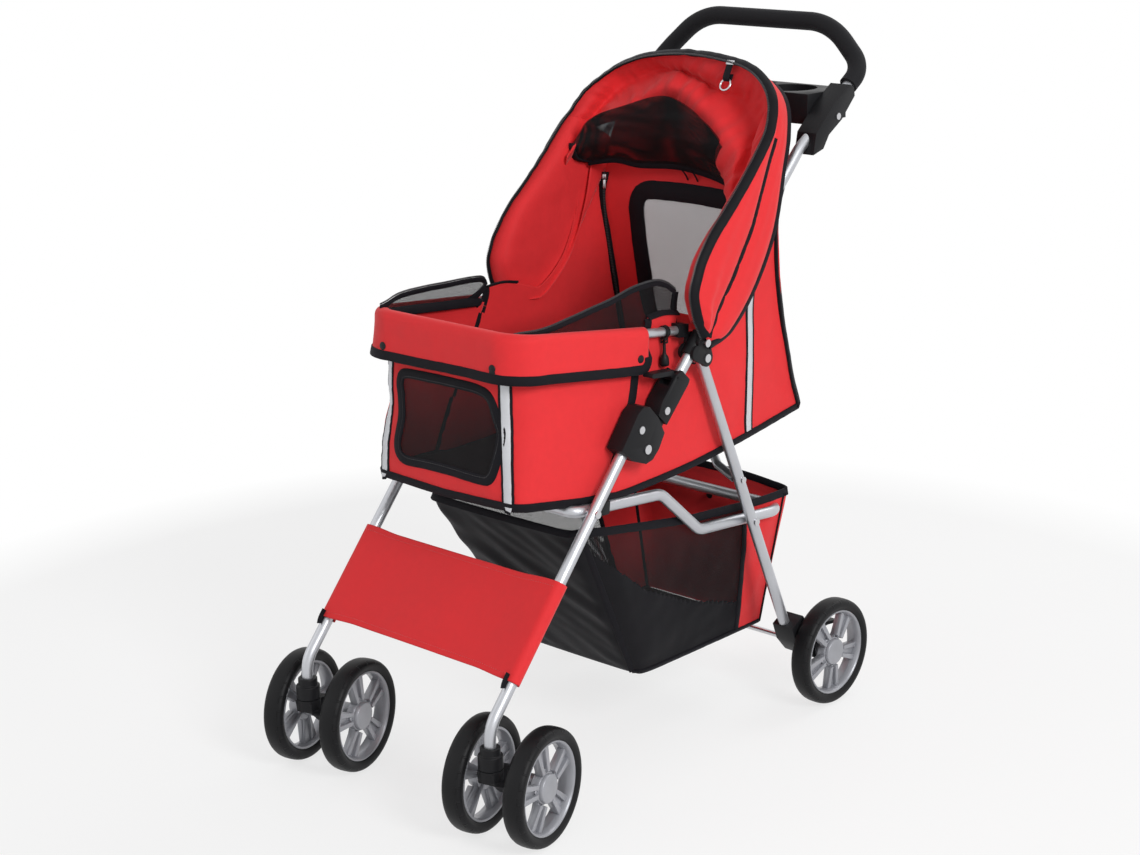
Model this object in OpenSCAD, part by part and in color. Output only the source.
// Four-wheel folding pet stroller. Lengths are in millimetres.
// +Z is up and the stroller faces -Y. Distances called "behind the stems" are
// measured along +Y from the two caster stems, and heights from the floor.

/* [Frame] */
// Half the distance between the left and right side frames
frame_half = 166; // [150:1:190]
// Outer diameter of the frame tubes
tube_d = 15; // [14:0.5:16]
// Wall of the frame tubes
tube_wall = 1.2; // [0.8:0.1:2]
// Origin of the part, behind the stems
origin_back = 357; // [300:1:400]
// Height of the bend between caster stem and front leg
stem_bend_h = 161; // [155:1:170]
// Slope of the front leg from the floor, in degrees
leg_slope = 49.5; // [48.5:0.5:50.5]
// Fold hinge, behind the stems
fold_back = 277; // [274:1:280]
// Height of the fold hinge
fold_h = 447; // [444:1:450]
// Slope of the upper tube from the floor, in degrees
upper_slope = 46; // [45:0.5:47]
// Rear leg pivot, measured along the upper tube from the fold hinge
pivot_along = 149; // [146:1:152]
// Rear leg pivot, below the axis of the upper tube
pivot_drop = 20; // [19:0.5:22]
// Radius of the hinge pins
pin_r = 3; // [2.5:0.1:3.2]
// Radius of the pin in the fold lock
fold_pin_r = 4; // [3.5:0.1:4.5]
// Radial gap of a pin or axle in its hole
pin_gap = 0.06; // [0.03:0.01:0.09]
// Gap between parts that move past each other
run_gap = 0.4; // [0.3:0.05:0.5]

/* [Handle] */
// Where the upper tube bends back, measured from the fold hinge
handle_bend_along = 462; // [455:1:470]
// Shoulder of the handle, behind the stems
shoulder_back = 729; // [722:1:736]
// Height of the handle shoulder
shoulder_h = 873; // [868:1:880]
// Half width of the handle at its shoulders
shoulder_half = 171; // [168:1:174]
// Crossbar of the handle, behind the stems
grip_back = 740; // [735:1:745]
// Height of the handle crossbar
grip_h = 928; // [920:1:935]
// Half length of the level part of the crossbar
grip_half = 112; // [100:1:120]
// Diameter of the foam grip
foam_d = 25; // [22:0.5:28]

/* [Wheels] */
// Diameter of the wheels
wheel_d = 150; // [146:1:154]
// Width of the tyres
tyre_w = 28; // [24:1:30]
// Radius of the rims
rim_r = 60; // [58:0.5:61]
// Radius of the hubs and hub caps
hub_r = 18; // [16:0.5:20]
// Radius of the wheel axles
axle_r = 4; // [3.5:0.1:4.5]
// Distance of the twin front wheels from the middle of their caster
wheel_half_gap = 43.4; // [42:0.2:46]
// Distance of the front axle behind the caster stem
trail = 47.3; // [44:0.1:50]
// Turn of the right caster at rest, in degrees
turn_right = 12; // [0:0.5:20]
// Turn of the left caster at rest, in degrees
turn_left = 14.5; // [0:0.5:20]
// Distance of each rear wheel from the middle plane
rear_wheel_half = 201; // [199:1:206]
// Rear axle, behind the stems
rear_axle_back = 637; // [632:1:642]
// Half width of a caster housing
caster_half_w = 12; // [10:0.5:14]

/* [Basket frame] */
// Distance of the basket bar from the middle plane
bar_half = 150; // [149.6:0.1:150]
// Pivot of the basket bar on the front leg, behind the stems
bar_pivot_back = 189; // [188:0.5:190]
// Front crossing of the basket bar, ahead of its pivot
bar_front = 17; // [16.5:0.5:18]
// Rear crossing of the basket bar, behind the stems
bar_rear_back = 600; // [596:1:604]
// Height of the rear crossing of the basket bar
bar_rear_h = 283; // [281:1:285]
// Rear leg pivot on the basket bar, behind the stems
bar_link_back = 504.5; // [502:0.5:507]
// Diameter of the front bar and of the rear cross tube
bar_d = 12; // [11:0.5:13]

/* [Fabric] */
// Thickness of the fabric walls
cloth = 2.5; // [2:0.1:3]
// Half width of the cabin at its lower front corners
cabin_front_half = 127; // [122:1:130]
// Half width of the cabin at its lower rear corners
cabin_rear_half = 150; // [146:1:151]
// Lower front edge of the cabin, behind the stems
cabin_front_back = 98; // [96:1:102]
// Rear wall of the cabin at the floor, behind the stems
cabin_rear_back = 629; // [620:1:632]
// Height of the lower front edge of the cabin
cabin_front_h = 402; // [400:1:405]
// Height of the lowest edge of the cabin
cabin_low_h = 389; // [388:0.5:391]
// Height of the lower rear edge of the cabin
cabin_rear_h = 424; // [420:1:428]
// Half width of the canopy and its hoops
hood_half = 177.5; // [177:0.5:179]
// Reach of the canopy hoops from their pivot
hood_reach = 380; // [372:1:384]
// Corner radius of the canopy hoops
hood_round = 105; // [95:1:110]
// Angle of the front hoop from the floor, in degrees
hood_angle = 60; // [60:0.5:62]
// Height of the floor of the basket
basket_floor_h = 107; // [100:1:112]
// Half width of the basket floor
basket_floor_half = 105; // [100:1:110]
// Lower edge of the footrest panel, above the floor
footrest_low_h = 206.8; // [204:0.2:210]
// Upper edge of the footrest panel, above the floor
footrest_high_h = 309.1; // [306:0.1:312]

/* [Tray] */
// Radius of the two cup holders
cup_r = 36; // [34:0.5:37]
// Depth of the two cup holders
cup_depth = 34; // [28:1:36]
// Front edge of the tray, behind the stems
tray_front_back = 634; // [632:1:636]
// Length of the tray from front to rear
tray_len = 86; // [82:1:88]
// Height of the rim of the tray
tray_rim_h = 846; // [843:1:848]
// Height of the tray body
tray_h = 40; // [38:1:42]

/* [Hidden] */
$fn = 64;
RED = "#d8393c";
BLACK = "#1d1c20";
SILVER = "#b9bbc2";
GREY = "#8f9197";

tube_r = tube_d / 2;
bar_r = bar_d / 2;
wheel_r = wheel_d / 2;
foam_r = foam_d / 2;

// A direction in the side plane, as [behind, up].
function dir(a) = [cos(a), sin(a)];
function left_of(v) = [-v[1], v[0]];
function at(x, p) = [x, p[0], p[1]];
function flip_x(p) = [-p[0], p[1], p[2]];
function reversed(v) = [for (i = [len(v) - 1:-1:0]) v[i]];

leg_dir = dir(leg_slope);
stem_bend = [0, stem_bend_h];
fold = [fold_back, fold_h];
up = dir(upper_slope);
front_of_up = left_of(up);
// A point given along the upper tube from the fold hinge, and in front of its axis.
function lock_pt(along, ahead) = fold + along * up + ahead * front_of_up;

stem_low_h = 114;
socket_low_h = 110;
socket_top_h = 138;
socket_r = 15.5;
caster_top_h = socket_low_h - run_gap;
leg_top_along = (fold - stem_bend) * leg_dir;
leg_top = stem_bend + (leg_top_along + 2) * leg_dir;
function leg_at_height(h) = stem_bend + (h - stem_bend_h) / leg_dir[1] * leg_dir;

lock_half = 13;
tongue_half = 7.6;
slot_half = tongue_half + run_gap;
lock_split = 43;
sleeve_top = 110;
upper_start = lock_split + 4;

rear_pivot = lock_pt(pivot_along, -pivot_drop);
hood_pivot = lock_pt(pivot_along + 11, 0);
bar_pivot = [bar_pivot_back, 383];
bar_knee = [335, 368.5];
bar_dip = [412, 300.5];
bar_rear = [bar_rear_back, bar_rear_h];
bar_link = bar_dip + (bar_link_back - bar_dip[0]) / (bar_rear[0] - bar_dip[0]) * (bar_rear - bar_dip);
rear_leg_dir = (bar_link - rear_pivot) / norm(bar_link - rear_pivot);
rear_leg_len = 478;
rear_foot = rear_pivot + rear_leg_len * rear_leg_dir;
rear_axle = [rear_axle_back, wheel_r];
block_in = 152;
block_out = rear_wheel_half - tyre_w / 2 - 1;
eye_r = 8.5;
plate_in = 8.2;
plate_out = 12.3;
cross_along = 199.6;
cross_end = rear_pivot + cross_along * rear_leg_dir;

// ---- shared shapes -------------------------------------------------------

module place() translate([0, -origin_back, 0]) children();
module right() children();
module left() mirror([1, 0, 0]) children();
module both() {
    children();
    mirror([1, 0, 0]) children();
}

// Draws a flat [behind, up] outline and thickens it from x0 to x1.
module side_plate(x0, x1)
    translate([x0, 0, 0]) rotate([90, 0, 90]) linear_extrude(x1 - x0) children();

// A round bar along x through a side-plane point.
module cross_pin(p, x0, x1, r)
    translate([x0, p[0], p[1]]) rotate([0, 90, 0]) cylinder(h = x1 - x0, r = r);

// Two round ends joined by a straight bar, drawn flat.
module link_2d(p, q, r) {
    translate(p) circle(r);
    translate(q) circle(r);
    v = q - p;
    translate(p) rotate(atan2(v[1], v[0])) translate([0, -r]) square([norm(v), 2 * r]);
}

module rod(a, b, r) {
    v = b - a;
    translate(a) rotate([0, acos(v[2] / norm(v)), atan2(v[1], v[0])]) cylinder(h = norm(v), r = r);
}

function unit(v) = v / norm(v);
function turn_at(p, i) = acos(unit(p[i] - p[i - 1]) * unit(p[i + 1] - p[i]));
function cut_back(p, i, bend) =
    (i == 0 || i == len(p) - 1) ? 0 : bend[i] * tan(turn_at(p, i) / 2);

// Straight pieces run this far into the slightly fatter bends.
lap = 0.4;
bend_extra = 0.03;
function end_back(p, i, bend) = (i == 0 || i == len(p) - 1) ? 0 : cut_back(p, i, bend) - lap;

// A round bar through points, with bend[i] as the bend radius at point i.
module bent_rod(p, bend, r) {
    for (i = [0:len(p) - 2]) {
        d = unit(p[i + 1] - p[i]);
        rod(p[i] + end_back(p, i, bend) * d, p[i + 1] - end_back(p, i + 1, bend) * d, r);
    }
    for (i = [1:1:len(p) - 2]) {
        a = unit(p[i] - p[i - 1]);
        b = unit(p[i + 1] - p[i]);
        n = unit(b - (a * b) * a);
        c = p[i] - cut_back(p, i, bend) * a + bend[i] * n;
        z = cross(-n, a);
        multmatrix([[-n[0], a[0], z[0], c[0]],
                    [-n[1], a[1], z[1], c[1]],
                    [-n[2], a[2], z[2], c[2]],
                    [0, 0, 0, 1]])
            rotate_extrude(angle = turn_at(p, i)) translate([bend[i], 0]) circle(r = r + bend_extra);
    }
}

function longer(p, e) = [
    for (i = [0:len(p) - 1])
        i == 0 ? p[0] - e * unit(p[1] - p[0])
        : i == len(p) - 1 ? p[i] + e * unit(p[i] - p[i - 1])
        : p[i]
];

module bent_tube(p, bend, r, wall = tube_wall) difference() {
    bent_rod(p, bend, r);
    bent_rod(longer(p, 1), bend, r - wall);
}

// ---- front legs and fold lock --------------------------------------------

leg_path = [[frame_half, 0, stem_low_h], at(frame_half, stem_bend), at(frame_half, leg_top)];
leg_bend = [0, 45, 0];

module front_leg() color(SILVER) difference() {
    bent_tube(leg_path, leg_bend, tube_r);
    cross_pin(bar_pivot, frame_half - tube_d, frame_half + tube_d, pin_r + pin_gap);
}

module caster_socket() color(BLACK) translate([frame_half, 0, 0]) difference() {
    union() {
        translate([0, 0, socket_low_h]) cylinder(h = 18, r = socket_r);
        translate([0, 0, socket_low_h + 18]) cylinder(h = 10, r = socket_r - 3);
    }
    translate([0, 0, socket_low_h - 1]) cylinder(h = 40, r = axle_r + pin_gap);
    translate([0, 0, stem_low_h]) cylinder(h = 40, r = tube_r + 0.05);
}

lock_outline = [
    lock_pt(-27, 40), lock_pt(24, 46), lock_pt(36, 43), lock_pt(42, 34), lock_pt(41, 10),
    lock_pt(33, -14), lock_pt(12, -19), lock_pt(-4, -18), lock_pt(-15, -11), lock_pt(-26, 14)
];

module lock_body() color(BLACK) difference() {
    side_plate(frame_half - lock_half, frame_half + lock_half) polygon(lock_outline);
    // room for the tongue of the upper sleeve to swing in
    side_plate(frame_half - slot_half, frame_half + slot_half)
        polygon([lock_pt(-40, 13), lock_pt(60, 13), lock_pt(60, -40), lock_pt(-40, -40)]);
    bent_rod(longer(leg_path, 0.3), leg_bend, tube_r + 0.05);
    cross_pin(fold, frame_half - 20, frame_half + 20, fold_pin_r + pin_gap);
}

module lock_sleeve() color(BLACK) difference() {
    union() {
        side_plate(frame_half - lock_half + 0.4, frame_half + lock_half - 0.4)
            polygon([lock_pt(lock_split, -11), lock_pt(lock_split, 11), lock_pt(60, 17),
                     lock_pt(100, 17), lock_pt(sleeve_top, 12), lock_pt(sleeve_top, -9),
                     lock_pt(104, -11)]);
        side_plate(frame_half - tongue_half, frame_half + tongue_half) {
            translate(fold) circle(11);
            polygon([lock_pt(0, -10), lock_pt(0, 10), lock_pt(lock_split + 2, 10),
                     lock_pt(lock_split + 2, -10)]);
        }
    }
    rod(at(frame_half, lock_pt(upper_start, 0)), at(frame_half, lock_pt(sleeve_top + 5, 0)), tube_r + 0.05);
    cross_pin(fold, frame_half - 20, frame_half + 20, fold_pin_r + pin_gap);
    // room for the release lever
    side_plate(frame_half - 8.4, frame_half + 8.4)
        polygon([lock_pt(84, 8.5), lock_pt(84, 30), lock_pt(120, 30), lock_pt(120, 8.5)]);
    cross_pin(latch_pivot, frame_half - 20, frame_half + 20, 2 + pin_gap);
}

latch_pivot = lock_pt(98, 13.5);

module latch() color(BLACK) {
    side_plate(frame_half - 8, frame_half + 8) {
        translate(latch_pivot) circle(4.4);
        polygon([latch_pivot + [1, 2], latch_pivot + [-2, 9], latch_pivot + [-40, 12],
                 latch_pivot + [-43, 8], latch_pivot + [-40, 6], latch_pivot + [-8, 3],
                 latch_pivot + [-3, -2]]);
    }
    cross_pin(latch_pivot, frame_half - 12, frame_half + 12, 2);
}

// Rivet with a flat head outside, through the side frame from x_in to x_out.
module rivet(p, x_in, x_out, r, head) {
    cross_pin(p, x_in, x_out, r);
    cross_pin(p, x_out, x_out + 1.6, head);
}

module frame_pins() place() color(SILVER) both() {
    rivet(fold, frame_half - lock_half, frame_half + lock_half + 0.05, fold_pin_r, 6);
    cross_pin(fold, frame_half - lock_half - 1.7, frame_half - lock_half - 0.05, 6);
    cross_pin(fold, frame_half - lock_half - 0.1, frame_half - lock_half, fold_pin_r);
    rivet(bar_pivot, bar_half - tube_r - 0.1, frame_half + tube_r + 0.05, pin_r, 5);
    cross_pin(bar_pivot, bar_half - tube_r - 1.7, bar_half - tube_r - 0.05, 4.2);
    cross_pin(lock_pt(12, 27), frame_half + lock_half + 0.05, frame_half + lock_half + 1.6, 5);
}

module handle_rivets() place() color(SILVER) both() {
    rivet(rear_pivot, frame_half - plate_out, frame_half + plate_out + 0.05, pin_r, 5.5);
    cross_pin(rear_pivot, frame_half - plate_out - 1.6, frame_half - plate_out - 0.05, 5.5);
    cross_pin(rear_pivot, frame_half - plate_out - 0.1, frame_half - plate_out + 0.1, pin_r);
    cross_pin(lock_pt(56, 2), frame_half + lock_half - 0.35, frame_half + lock_half + 1.3, 5);
    cross_pin(tray_screw, clamp_out + 0.05, clamp_out + 1.6, 4.5);
}

module leg_rivets() place() color(SILVER) both() {
    rivet(bar_link, frame_half - tube_r - 0.6, frame_half + tube_r + 0.05, pin_r, 5);
    cross_pin(cross_end, frame_half + tube_r + 0.05, frame_half + tube_r + 1.6, 4.5);
}

// ---- footrest panel --------------------------------------------------------

module footrest_panel() place() color(RED) {
    low = leg_at_height(footrest_low_h);
    high = leg_at_height(footrest_high_h);
    sleeve_r = tube_r + run_gap + cloth;
    difference() {
        union() {
            both() rod(at(frame_half, low), at(frame_half, high), sleeve_r);
            translate([-frame_half, 0, 0]) side_plate(0, 2 * frame_half)
                polygon([low + (sleeve_r - 0.5) * left_of(leg_dir),
                         high + (sleeve_r - 0.5) * left_of(leg_dir),
                         high + (sleeve_r - 0.5 - cloth) * left_of(leg_dir),
                         low + (sleeve_r - 0.5 - cloth) * left_of(leg_dir)]);
        }
        both() rod(at(frame_half, low - 5 * leg_dir), at(frame_half, high + 5 * leg_dir), tube_r + run_gap);
    }
}

// ---- casters and wheels ----------------------------------------------------

function caster_turn(side) = side > 0 ? turn_right : turn_left;

module caster_frame(side)
    place() translate([side * frame_half, 0, 0]) rotate([0, 0, caster_turn(side)]) children();

module caster_housing(side) caster_frame(side) color(BLACK) difference() {
    union() {
        translate([0, 0, 96]) cylinder(h = caster_top_h - 96, r = socket_r);
        translate([0, 0, 90]) cylinder(h = 50, r = axle_r);
        side_plate(-caster_half_w, caster_half_w)
            polygon([[-13, caster_top_h - 2], [13, caster_top_h - 2], [30, 104], [54, 92], [63, 82],
                     [64, 70], [57, 61], [47, 58], [36, 61], [18, 78], [-10, 92]]);
    }
    cross_pin([trail, wheel_r], -40, 40, axle_r + pin_gap);
}

module caster_axle(side) caster_frame(side) color(SILVER)
    cross_pin([trail, wheel_r], -wheel_half_gap - 8, wheel_half_gap + 8, axle_r);

spoke_half_w = 7;

// Wheel body about the x axis, with its hub cap towards +x.
module rim(hub_in) color(GREY) difference() {
    union() {
        rotate([0, 90, 0]) rotate_extrude($fn = 96)
            polygon([[rim_r - 5, -11], [rim_r, -11], [rim_r, 11], [rim_r - 6, 11], [rim_r - 4, 6],
                     [rim_r - 4, -6]]);
        cross_pin([0, 0], -hub_in, 9, hub_r - 4);
        cross_pin([0, 0], -6, 11, hub_r);
        for (i = [0:4]) rotate([i * 72, 0, 0]) for (s = [-1, 1])
            rotate([s * 7, 0, 0])
                translate([0, s * 1.6 + (s < 0 ? -spoke_half_w : 0), 0])
                    cube([8, spoke_half_w, rim_r - 4.5]);
    }
    cross_pin([0, 0], -hub_in - 1, 8.6, axle_r + pin_gap);
}

module tyre() color(BLACK) rotate([0, 90, 0]) rotate_extrude($fn = 96)
    polygon([[rim_r + 0.1, -11], [rim_r + 4, -tyre_w / 2 + 0.5], [rim_r + 9, -tyre_w / 2],
             [wheel_r - 2.2, -tyre_w / 2 + 3], [wheel_r, -tyre_w / 2 + 7],
             [wheel_r, tyre_w / 2 - 7], [wheel_r - 2.2, tyre_w / 2 - 3],
             [rim_r + 9, tyre_w / 2], [rim_r + 4, tyre_w / 2 - 0.5], [rim_r + 0.1, 11]]);

// side is the caster, face is the side of the caster that the wheel is on.
module on_caster(side, face)
    caster_frame(side) translate([face * wheel_half_gap, trail, wheel_r])
        mirror([face > 0 ? 0 : 1, 0, 0]) children();

module on_rear_axle(side)
    place() translate([side * rear_wheel_half, rear_axle[0], rear_axle[1]])
        mirror([side > 0 ? 0 : 1, 0, 0]) children();

front_hub_in = wheel_half_gap - caster_half_w - run_gap;
rear_hub_in = rear_wheel_half - block_out - run_gap;

// ---- rear legs -------------------------------------------------------------

module rear_leg() color(SILVER) difference() {
    union() {
        rod(at(frame_half, rear_pivot), at(frame_half, rear_foot), tube_r);
        cross_pin(rear_pivot, frame_half - tongue_half, frame_half + tongue_half, eye_r);
    }
    rod(at(frame_half, rear_pivot + 14 * rear_leg_dir), at(frame_half, rear_foot + rear_leg_dir),
        tube_r - tube_wall);
    cross_pin(rear_pivot, frame_half - 20, frame_half + 20, pin_r + pin_gap);
    cross_pin(bar_link, frame_half - 20, frame_half + 20, pin_r + 0.02);
}

// A point given beyond the foot of the rear leg, and behind its axis.
function foot_pt(beyond, behind) = rear_foot + beyond * rear_leg_dir + behind * left_of(rear_leg_dir);

block_outline = [
    foot_pt(-25.5, -8.3), foot_pt(-27, 18.5), rear_axle + [-14, 26], rear_axle + [4, 17],
    rear_axle + [15, 10], rear_axle + [17, -2], rear_axle + [8, -13], rear_axle + [-6, -15],
    foot_pt(28.3, -0.3), foot_pt(0, -9.7)
];
brake_pivot = rear_axle + [3, 26];

module axle_block() color(BLACK) difference() {
    union() {
        side_plate(block_in, block_out) polygon(block_outline);
        for (x = [block_in, block_out - 5]) side_plate(x, x + 5) {
            translate(brake_pivot) circle(6.5);
            translate(brake_pivot + [-6.5, -14]) square([13, 14]);
        }
    }
    rod(at(frame_half, rear_foot - 90 * rear_leg_dir), at(frame_half, rear_foot), tube_r + 0.05);
    cross_pin(rear_axle, block_in - 5, block_out + 5, axle_r + 0.02);
    cross_pin(brake_pivot, block_in - 5, block_out + 5, 2.5 + pin_gap);
}

module brake_pedal() color(BLACK) {
    cross_pin(brake_pivot, block_in, block_out, 2.5);
    side_plate(block_in + 5.5, block_out - 5.5) {
        translate(brake_pivot) circle(6);
        polygon([brake_pivot + [0, 6], brake_pivot + [20, 5], brake_pivot + [44, 1],
                 brake_pivot + [46, -3], brake_pivot + [20, 0], brake_pivot + [3, -1]]);
    }
}

module rear_axle_rod() place() color(SILVER)
    cross_pin(rear_axle, -rear_wheel_half - 8, rear_wheel_half + 8, axle_r);

cross_x = frame_half - tube_r - 0.3;
cross_rise = [[cross_x, 0, 0], [125, 7, 10], [98, 31, 13]];

module rear_cross_tube() place() color(SILVER) {
    half_path = [for (p = cross_rise) [p[0], cross_end[0] + p[1], cross_end[1] + p[2]]];
    path = concat(half_path, [for (p = reversed(half_path)) flip_x(p)]);
    bent_tube(path, [0, 14, 14, 14, 14, 0], bar_r);
}

// ---- basket bar and basket ---------------------------------------------------

bar_front_pt = bar_pivot + bar_front * unit(bar_pivot - bar_knee);
bar_half_path = [[0, bar_front_pt[0], bar_front_pt[1]], at(bar_half, bar_front_pt),
                 at(bar_half, bar_knee), at(bar_half, bar_dip), at(bar_half, bar_rear),
                 [0, bar_rear[0], bar_rear[1]]];
bar_bends = [0, 13, 30, 30, 40, 0];

module basket_bar() place() color(SILVER) difference() {
    both() bent_tube(bar_half_path, bar_bends, tube_r);
    both() cross_pin(bar_pivot, bar_half - 20, bar_half + 20, pin_r + pin_gap);
}

module bar_sleeves() place() color(BLACK) both() {
    d = unit(bar_knee - bar_pivot);
    intersection() {
        difference() {
            rod(at(bar_half, bar_pivot + 17 * d), at(bar_half, bar_pivot + 40 * d), 11);
            rod(at(bar_half, bar_pivot), at(bar_half, bar_pivot + 60 * d), tube_r + 0.05);
        }
        translate([bar_half - 7.4, 150, 340]) cube([15.6, 120, 80]);
    }
}

basket_top_half = bar_half - tube_r - 0.3;
notch_h = bar_rear_h - tube_r - 0.3;
notch_front = bar_rear_back - 30;
notch_rear = bar_rear_back + tube_r + 3.5;
basket_low = [[basket_floor_half - 12, 352, basket_floor_h], [basket_floor_half - 12, 592, basket_floor_h]];

// Rounded posts at the corners of the basket, grown outwards by g.
module basket_form(g, lift, over) hull() both() {
    for (p = basket_low) translate(p + [0, 0, lift]) cylinder(h = 1, r = 12 + g, $fn = 32);
    translate([basket_top_half - 13, 203, 376 + over]) cylinder(h = 1, r = 13 + g, $fn = 32);
    translate([basket_top_half - 13, 608, 312 + over]) cylinder(h = 1, r = 13 + g, $fn = 32);
}

module basket() place() color(RED) difference() {
    basket_form(0, 0, 0);
    basket_form(-cloth, cloth, 3);
    // the open top: lower sides, and a notch for the rear crossing of the bar
    side_plate(-200, 200)
        polygon([[216, 420], [216, 342], [347, 324], [460, 310], [notch_front, 302.5],
                 [notch_front, notch_h], [notch_rear, notch_h], [notch_rear + 2, 308], [680, 308], [680, 420]]);
}

// The board stays clear of the twin wheels when the frame folds.
board_half = min(basket_floor_half - 6, 82);

module basket_board() place() color(BLACK)
    translate([-board_half, 350, basket_floor_h + cloth + run_gap]) cube([2 * board_half, 240, 3]);

// ---- upper frame: handle, tray, front bar -------------------------------------

handle_bend = lock_pt(handle_bend_along, 0);
grip_path = [[shoulder_half, shoulder_back, shoulder_h], [grip_half, grip_back, grip_h]];
handle_half_path = concat([at(frame_half, lock_pt(upper_start, 0)), at(frame_half, handle_bend)], grip_path);
handle_path = concat(handle_half_path, [for (p = reversed(handle_half_path)) flip_x(p)]);
handle_bends = [0, 60, 40, 90, 90, 40, 60, 0];
foam_start = at(frame_half, handle_bend)
    + 0.78 * (grip_path[0] - at(frame_half, handle_bend));

module handle_tube() place() color(SILVER) difference() {
    bent_tube(handle_path, handle_bends, tube_r);
    both() cross_pin(hood_pivot, frame_half - 20, frame_half + 20, 2 + 0.02);
}

module foam_grip() place() color(BLACK) {
    half = concat([foam_start], grip_path);
    path = concat(half, [for (p = reversed(half)) flip_x(p)]);
    bends = [0, 40, 90, 90, 40, 0];
    difference() {
        bent_rod(path, bends, foam_r);
        bent_rod(longer(path, 1), bends, tube_r + 0.1);
    }
}

clamp_in = 153;
clamp_out = 184;
tray_screw = [659, 817];
tray_half = clamp_in - 0.3;
tray_low_h = tray_rim_h - tray_h;
tray_rear_back = tray_front_back + tray_len;

module tray_clamp() color(BLACK) difference() {
    side_plate(clamp_in, clamp_out)
        polygon([[606, 772], [612, 800], [650, 834], [684, 856], [694, 852], [696, 840],
                 [668, 812], [640, 795], [628, 778]]);
    bent_rod(handle_half_path, [for (i = [0:3]) handle_bends[i]], tube_r + 0.05);
}

tray_wall = 3;
tray_mid = tray_front_back + tray_len / 2;
cup_at = 92;

module tray() place() color(BLACK) difference() {
    translate([-tray_half, tray_front_back, tray_low_h]) cube([2 * tray_half, tray_len, tray_h]);
    difference() {
        translate([tray_wall - tray_half, tray_front_back + tray_wall, tray_low_h - 1])
            cube([2 * (tray_half - tray_wall), tray_len - 2 * tray_wall, tray_h + 1 - tray_wall]);
        both() translate([cup_at, tray_mid, tray_rim_h - cup_depth - tray_wall]) cylinder(h = 50, r = cup_r + tray_wall);
        translate([-44 - tray_wall, tray_front_back, tray_rim_h - 24 - tray_wall]) cube([88 + 2 * tray_wall, tray_len, 40]);
    }
    both() translate([cup_at, tray_mid, tray_rim_h - cup_depth]) cylinder(h = cup_depth + 1, r = cup_r);
    translate([-44, tray_front_back + 8, tray_rim_h - 24]) cube([88, tray_len - 16, 25]);
}

module leg_bracket() color(BLACK) difference() {
    union() {
        for (x = [frame_half - plate_out, frame_half + plate_in])
            side_plate(x, x + plate_out - plate_in) {
                link_2d(rear_pivot, hood_pivot, 11);
                link_2d(rear_pivot, lock_pt(pivot_along - 6, 0), 10);
            }
        rod(at(frame_half, lock_pt(pivot_along - 12, 0)), at(frame_half, lock_pt(pivot_along + 22, 0)),
            plate_in + 2.4);
        // seat of the front bar
        side_plate(bar_socket_in, frame_half - plate_in)
            translate(front_bar_end) rotate(-8) translate([-13, -8.5]) square([17, 17]);
    }
    rod(at(frame_half, lock_pt(pivot_along - 20, 0)), at(frame_half, lock_pt(pivot_along + 30, 0)), tube_r + 0.05);
    cross_pin(rear_pivot, frame_half - tongue_half - run_gap, frame_half + tongue_half + run_gap, eye_r + run_gap);
    cross_pin(rear_pivot, frame_half - 20, frame_half + 20, pin_r + 0.02);
    rod(at(front_bar_half, front_bar_knee), at(front_bar_half, front_bar_end), bar_r + 0.05);
    cross_pin(hood_pivot, frame_half - 20, frame_half + 20, 2 + 0.02);
}

front_bar_half = 150;
front_bar_front_half = 127;
front_bar_end = [378, 576.3];
front_bar_knee = [320, 583];
front_bar_front = [102.5, 608];
front_bar_round = 40;
bar_socket_in = front_bar_half - bar_r - 0.6;

module front_bar() place() color(SILVER) {
    half_path = [at(front_bar_half, front_bar_end), at(front_bar_half, front_bar_knee),
                 at(front_bar_front_half, front_bar_front)];
    path = concat(half_path, [for (p = reversed(half_path)) flip_x(p)]);
    bent_tube(path, [0, 60, front_bar_round, front_bar_round, 60, 0], bar_r, 1);
}

// ---- cabin ---------------------------------------------------------------------

// Slant of the sides of the front bar, and the centre of its front bend.
bar_lean = (front_bar_half - front_bar_front_half) / (front_bar_knee[0] - front_bar_front[0]);
lean_len = sqrt(1 + bar_lean * bar_lean);
rim_corner = [front_bar_front_half + front_bar_round * (bar_lean - lean_len), front_bar_front[0] + front_bar_round];
rim_r_in = front_bar_round - bar_r - 0.7;
cabin_top_rear = [137, 576];
tub_rim_h = 606;
cabin_low_r = 12;
cabin_low_from = 245;
cabin_low_to = cabin_low_from + 2 * cabin_low_r;

// Outer form of the cabin tub, shrunk by g, with its top raised by lift.
module tub_form(g, lift) hull() both() {
    translate([cabin_front_half - 20, cabin_front_back + 20, cabin_front_h + g])
        cylinder(h = 1, r = 20 - g, $fn = 32);
    translate([cabin_rear_half - cabin_low_r, cabin_low_from + cabin_low_r, cabin_low_h + g])
        cylinder(h = 1, r = cabin_low_r - g, $fn = 32);
    translate([cabin_rear_half - 12, cabin_rear_back - 12, cabin_rear_h + g])
        cylinder(h = 1, r = 12 - g, $fn = 32);
    translate([rim_corner[0], rim_corner[1], tub_rim_h + lift]) cylinder(h = 1, r = rim_r_in - g, $fn = 32);
    translate([130, 350, 580 + lift]) cylinder(h = 1, r = 11 - g, $fn = 32);
    translate([cabin_top_rear[0], cabin_top_rear[1], 572 + lift]) cylinder(h = 1, r = 12 - g, $fn = 32);
}

module cabin_tub() place() color(RED) difference() {
    tub_form(0, 0);
    tub_form(cloth, 3);
}

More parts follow.
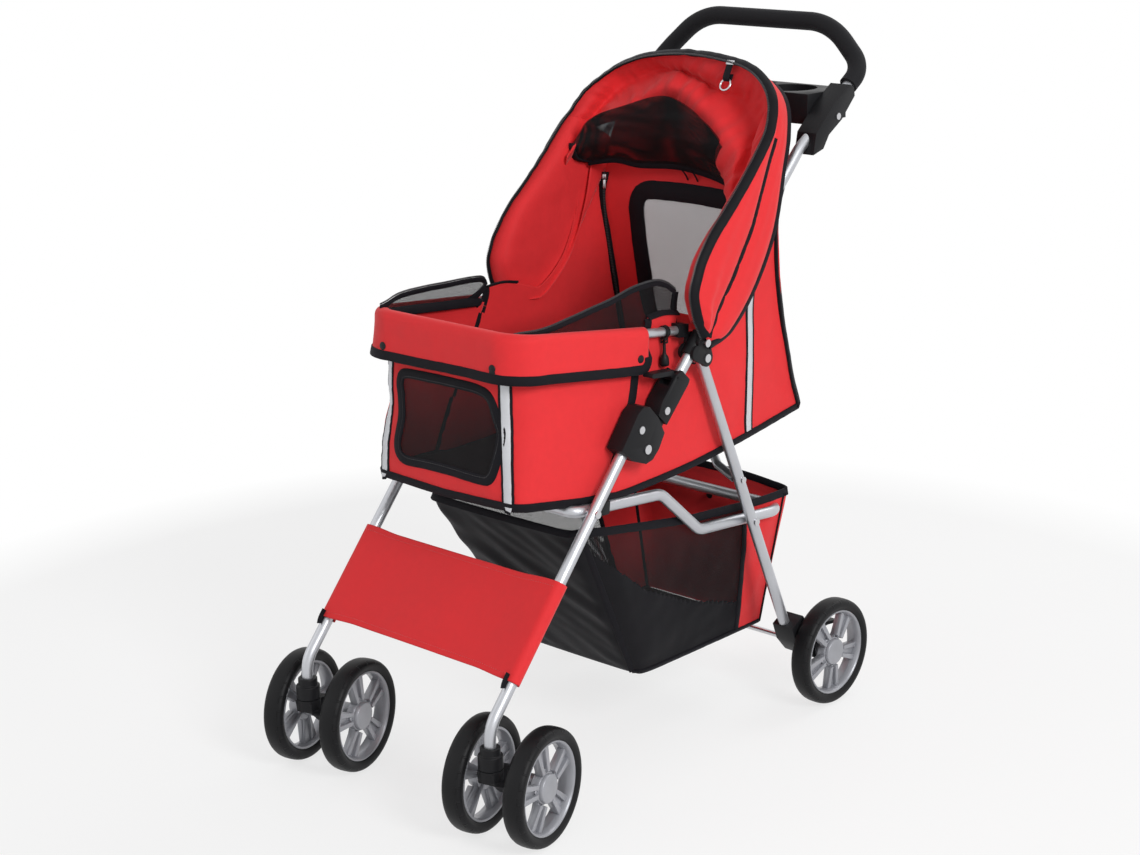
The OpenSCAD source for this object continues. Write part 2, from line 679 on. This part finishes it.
// Height of the floor inside the tub at a distance behind the stems.
tub_floor_front = [cabin_front_back + cloth, cabin_front_h + cloth];
tub_floor_rear = [cabin_rear_back - cloth, cabin_rear_h + cloth];
function tub_floor_h(y) = min(
    lookup(y, [tub_floor_front, tub_floor_rear]),
    lookup(y, [tub_floor_front, [cabin_low_from + cloth, cabin_low_h + cloth],
               [cabin_low_to - cloth, cabin_low_h + cloth], tub_floor_rear]));

// The board ends ahead of the front crossing of the basket bar when the frame folds.
board_front_back = cabin_front_back + 6;
board_rear_back = 360;
cabin_board_half = cabin_front_half - 23;
board_gap = 0.3;
cabin_board_h = max(tub_floor_h(board_front_back), tub_floor_h(board_rear_back)) + board_gap;

module cabin_board() place() color(BLACK)
    translate([-cabin_board_half, board_front_back, cabin_board_h])
        cube([2 * cabin_board_half, board_rear_back - board_front_back, 4]);

// Point where the side of the flap leaves its rounded front corner.
function leave_corner(c, r, q) =
    c + r * dir(atan2((q - c)[1], (q - c)[0]) - acos(r / norm(q - c)));

flap_r = front_bar_round + bar_r + 3;
flap_rear = 306;
flap_end = [bar_x(flap_rear) + (bar_r + 3) * lean_len, flap_rear];

// Plan of the flap, made narrower all round by w.
module flap_2d(w) {
    r = flap_r - w;
    q = flap_end - [w, 0];
    t = leave_corner(rim_corner, r, q);
    front = rim_corner[1] - r;
    polygon([[-rim_corner[0], front], [rim_corner[0], front], t, q, flip_2d(q), flip_2d(t)]);
    for (x = [-1, 1]) translate([x * rim_corner[0], rim_corner[1]]) circle(r);
}
function flip_2d(p) = [-p[0], p[1]];

// Height of the axis of the front bar at a distance behind the stems.
function bar_h(y) = front_bar_knee[1] + (front_bar_knee[0] - y) * (front_bar_front[1] - front_bar_knee[1])
    / (front_bar_knee[0] - front_bar_front[0]);
function bar_x(y) = front_bar_half + (y - front_bar_knee[0]) * bar_lean;

// Underside of the band of cloth that lies on the bar.
function band_h(y) = bar_h(y) + bar_r + run_gap;

// Band of cloth turned over the front bar.
module front_flap() place() color(RED) {
    intersection() {
        translate([0, 0, 500]) linear_extrude(150) difference() {
            flap_2d(0);
            flap_2d(cloth);
            translate([-140, flap_rear - 6]) square([280, 20]);
        }
        side_plate(-200, 200)
            polygon([[80, 562], [flap_rear, 542], [flap_rear, band_h(flap_rear) + 3],
                     [80, band_h(80) + 3]]);
    }
    intersection() {
        translate([0, 0, 500]) linear_extrude(150) difference() {
            flap_2d(0);
            flap_2d(18);
            translate([-138, flap_rear - 6]) square([276, 20]);
        }
        side_plate(-200, 200)
            polygon([[80, band_h(80) + 3], [flap_rear, band_h(flap_rear) + 3],
                     [flap_rear, band_h(flap_rear)], [80, band_h(80)]]);
    }
}

// ---- canopy --------------------------------------------------------------------

module in_hood_plane(back = 0)
    translate([0, hood_pivot[0], hood_pivot[1]]) rotate([hood_angle - 90, 0, 0]) translate([0, back, 0]) children();

// Upright arch outline of a hoop in the x-reach plane.
module arch_2d(half, reach, low, round) {
    translate([-half, low]) square([2 * half, reach - round - low]);
    for (s = [-1, 1]) translate([s * (half - round), reach - round]) circle(round);
    translate([-half + round, reach - round]) square([2 * (half - round), round]);
}

module arch_plate(half, reach, low, round, t)
    translate([0, t, 0]) rotate([90, 0, 0]) linear_extrude(t) arch_2d(half, reach, low, round);

// Outer form of the canopy, shrunk by g and with its lower edge dropped.
module canopy_form(g, drop) hull() {
    in_hood_plane(6.4)
        arch_plate(hood_half - g, hood_reach - g, 44 - drop, hood_round - g, 1, $fn = 32);
    both() {
        translate([92, 596, 846]) rotate([0, 90, 0]) cylinder(h = 18 - g, r = 22 - g, $fn = 32);
        translate([160, cabin_top_rear[1], 762]) cylinder(h = 1, r = 12 - g, $fn = 32);
        translate([cabin_top_rear[0], cabin_top_rear[1], 573.3 - drop]) cylinder(h = 1, r = 12 - g, $fn = 32);
    }
}

module canopy() place() color(RED) difference() {
    canopy_form(0, 0);
    canopy_form(cloth, 6);
    // the open front
    in_hood_plane() translate([-300, -100, -50]) cube([600, 108.6, 600]);
    // slots where the upper tubes run out at the back
    both() side_plate(frame_half - tube_r - 1, frame_half + 20)
        polygon([lock_pt(250, 8.6), lock_pt(480, 8.6), lock_pt(480, -8.6), lock_pt(250, -8.6)]);
}

hoop_r = 2.5;
hoop_half = hood_half + 1 + hoop_r;
hoop_reach = hood_reach + 2;

module hood_hoop() place() color(BLACK) {
    in_hood_plane() {
        path = [[hoop_half, 0, 0], [hoop_half, 0, hoop_reach - 6], [-hoop_half, 0, hoop_reach - 6],
                [-hoop_half, 0, 0]];
        difference() {
            union() {
                bent_rod(path, [0, hood_round, hood_round, 0], hoop_r);
                both() cross_pin([0, 0], hoop_half - hoop_r, hoop_half + hoop_r, 6);
            }
            both() cross_pin([0, 0], hoop_half - 20, hoop_half + 20, 2 + pin_gap);
        }
    }
    ring_loop();
}

module hood_pins() place() color(SILVER) both() {
    cross_pin(hood_pivot, frame_half + tube_r - 2, hoop_half + hoop_r + 0.4, 2);
    cross_pin(hood_pivot, hoop_half + hoop_r + 0.4, hoop_half + hoop_r + 2, 5);
}

// Gathered front edge of the canopy, which travels with the front hoop.
module hood_band() place() color(RED)
    in_hood_plane(2.8) difference() {
        arch_plate(hood_half - 0.5, hood_reach - 4, 70, hood_round - 1, 3);
        translate([0, -1, 0]) arch_plate(hood_half - 31, hood_reach - 46, 50, hood_round - 32, 6);
    }

// The ring hangs from a webbing loop on the gathered edge.
ring_at = [75, -1.8, 352];
ring_r = 8;
module d_ring() place() color(SILVER)
    in_hood_plane() translate(ring_at + [0, 0, -ring_r]) rotate([90, 0, 0])
        rotate_extrude() translate([ring_r, 0]) circle(1.4, $fn = 24);

module ring_loop() in_hood_plane() translate(ring_at) difference() {
    translate([-3, 0, 0]) rotate([0, 90, 0]) cylinder(h = 6, r = 4.4);
    translate([-4, 0, 0]) rotate([0, 90, 0]) cylinder(h = 8, r = 2.5);
}

pull_at = [front_bar_half, 344, 568.5];
pull_bar = [344, front_bar_end[1] + (front_bar_end[0] - 344) * (front_bar_knee[1] - front_bar_end[1]) / (front_bar_end[0] - front_bar_knee[0])];
module zip_pull() place() color(BLACK) {
    translate(pull_at + [0, 0, -18]) cylinder(h = 18, r = 2);
    translate(pull_at + [0, 0, -32]) cylinder(h = 15, r = 5.2);
    translate(pull_at) sphere(2);
    translate(pull_at + [-3.6, 0, 0]) rotate([0, 90, 0]) cylinder(h = 7.2, r = 1.2);
}

// Ring round the front bar with two ears that carry the pull.
module pull_eye() difference() {
    union() {
        translate([pull_at[0], pull_bar[0] - 3, pull_bar[1]]) rotate([-90, 0, 0]) cylinder(h = 6, r = bar_r + 2.2);
        for (x = [-3.9, 2.5]) translate(pull_at + [x, -3, -3]) cube([1.4, 6, 10]);
    }
    rod([pull_at[0], front_bar_knee[0], front_bar_knee[1]], [pull_at[0], front_bar_end[0], front_bar_end[1]], bar_r + 0.1);
    translate(pull_at + [-10, 0, 0]) rotate([0, 90, 0]) cylinder(h = 20, r = 1.2 + pin_gap);
    translate(pull_at) sphere(2 + run_gap);
}

snap_front = rim_corner[1] - front_bar_round - bar_r - 3.2;
module snaps() place() color(BLACK) {
    for (x = [-95, 95]) translate([x, snap_front, 568]) rotate([90, 0, 0]) cylinder(h = 2, r = 5);
    pull_eye();
}

module front_leg_right() place() right() front_leg();
module front_leg_left() place() left() front_leg();
module lock_body_right() place() right() lock_body();
module lock_body_left() place() left() lock_body();
module caster_socket_right() place() right() caster_socket();
module caster_socket_left() place() left() caster_socket();
module caster_housing_right() caster_housing(1);
module caster_housing_left() caster_housing(-1);
module caster_axle_right() caster_axle(1);
module caster_axle_left() caster_axle(-1);
module rim_front_right_outer() on_caster(1, 1) rim(front_hub_in);
module rim_front_right_inner() on_caster(1, -1) rim(front_hub_in);
module rim_front_left_inner() on_caster(-1, 1) rim(front_hub_in);
module rim_front_left_outer() on_caster(-1, -1) rim(front_hub_in);
module tyre_front_right_outer() on_caster(1, 1) tyre();
module tyre_front_right_inner() on_caster(1, -1) tyre();
module tyre_front_left_inner() on_caster(-1, 1) tyre();
module tyre_front_left_outer() on_caster(-1, -1) tyre();
module rim_rear_right() on_rear_axle(1) rim(rear_hub_in);
module rim_rear_left() on_rear_axle(-1) rim(rear_hub_in);
module tyre_rear_right() on_rear_axle(1) tyre();
module tyre_rear_left() on_rear_axle(-1) tyre();
module rear_leg_right() place() right() rear_leg();
module rear_leg_left() place() left() rear_leg();
module axle_block_right() place() right() axle_block();
module axle_block_left() place() left() axle_block();
module brake_pedal_right() place() right() brake_pedal();
module brake_pedal_left() place() left() brake_pedal();
module lock_sleeve_right() place() right() lock_sleeve();
module lock_sleeve_left() place() left() lock_sleeve();
module latch_right() place() right() latch();
module latch_left() place() left() latch();
module leg_bracket_right() place() right() leg_bracket();
module leg_bracket_left() place() left() leg_bracket();
module tray_clamp_right() place() right() tray_clamp();
module tray_clamp_left() place() left() tray_clamp();

front_leg_right();
front_leg_left();
lock_body_right();
lock_body_left();
frame_pins();
caster_socket_right();
caster_socket_left();
footrest_panel();
caster_housing_right();
caster_housing_left();
caster_axle_right();
caster_axle_left();
rim_front_right_outer();
rim_front_right_inner();
rim_front_left_inner();
rim_front_left_outer();
tyre_front_right_outer();
tyre_front_right_inner();
tyre_front_left_inner();
tyre_front_left_outer();
rim_rear_right();
rim_rear_left();
tyre_rear_right();
tyre_rear_left();
rear_leg_right();
rear_leg_left();
rear_cross_tube();
rear_axle_rod();
axle_block_right();
axle_block_left();
leg_rivets();
brake_pedal_right();
brake_pedal_left();
basket_bar();
bar_sleeves();
basket();
basket_board();
handle_tube();
foam_grip();
lock_sleeve_right();
lock_sleeve_left();
latch_right();
latch_left();
leg_bracket_right();
leg_bracket_left();
handle_rivets();
hood_pins();
front_bar();
tray();
tray_clamp_right();
tray_clamp_left();
cabin_tub();
cabin_board();
front_flap();
canopy();
snaps();
hood_hoop();
hood_band();
d_ring();
zip_pull();
